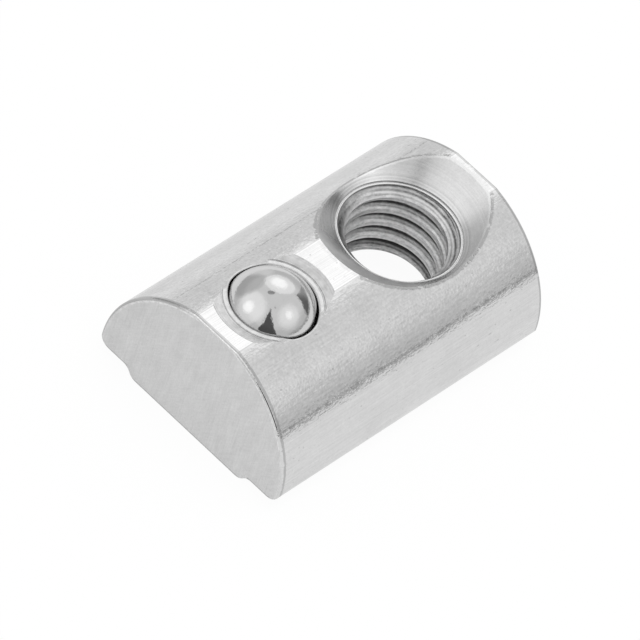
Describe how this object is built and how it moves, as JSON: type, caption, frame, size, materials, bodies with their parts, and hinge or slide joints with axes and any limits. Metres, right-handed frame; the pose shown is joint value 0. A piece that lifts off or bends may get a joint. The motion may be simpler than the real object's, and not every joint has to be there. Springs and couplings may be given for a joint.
{
  "type": "t slot nut",
  "caption": "Half-round steel T-slot nut with a countersunk threaded hole, a flat land for the slot and a spring-loaded detent ball that holds it in place.",
  "frame": {"origin": "middle of the nut's length and width, in the plane of the flat land", "axes": "+X along the nut from the ball towards the threaded hole's end, +Z out of the half-round side, so the ball is at -X and the screw comes in from -Z"},
  "size_m": [0.024, 0.0162, 0.0108],
  "materials": {
    "plated_steel": "bright plated drawn steel with fine lengthwise lines and finely sawn ends",
    "polished_steel": "polished bearing ball",
    "spring_steel": "drawn spring wire"
  },
  "bodies": {
    "nut": {"nut_body": "plated_steel", "ball_spring": "spring_steel"},
    "ball": {"detent_ball": "polished_steel"}
  },
  "joints": [
    {"name": "ball_press", "type": "slide", "parent": "nut", "child": "ball", "axis": [0, 0, -1], "range_m": [0, 0.00145], "stiffness_N_per_m": 2000, "springref_m": -0.0004, "deforming": ["ball_spring"]}
  ]
}
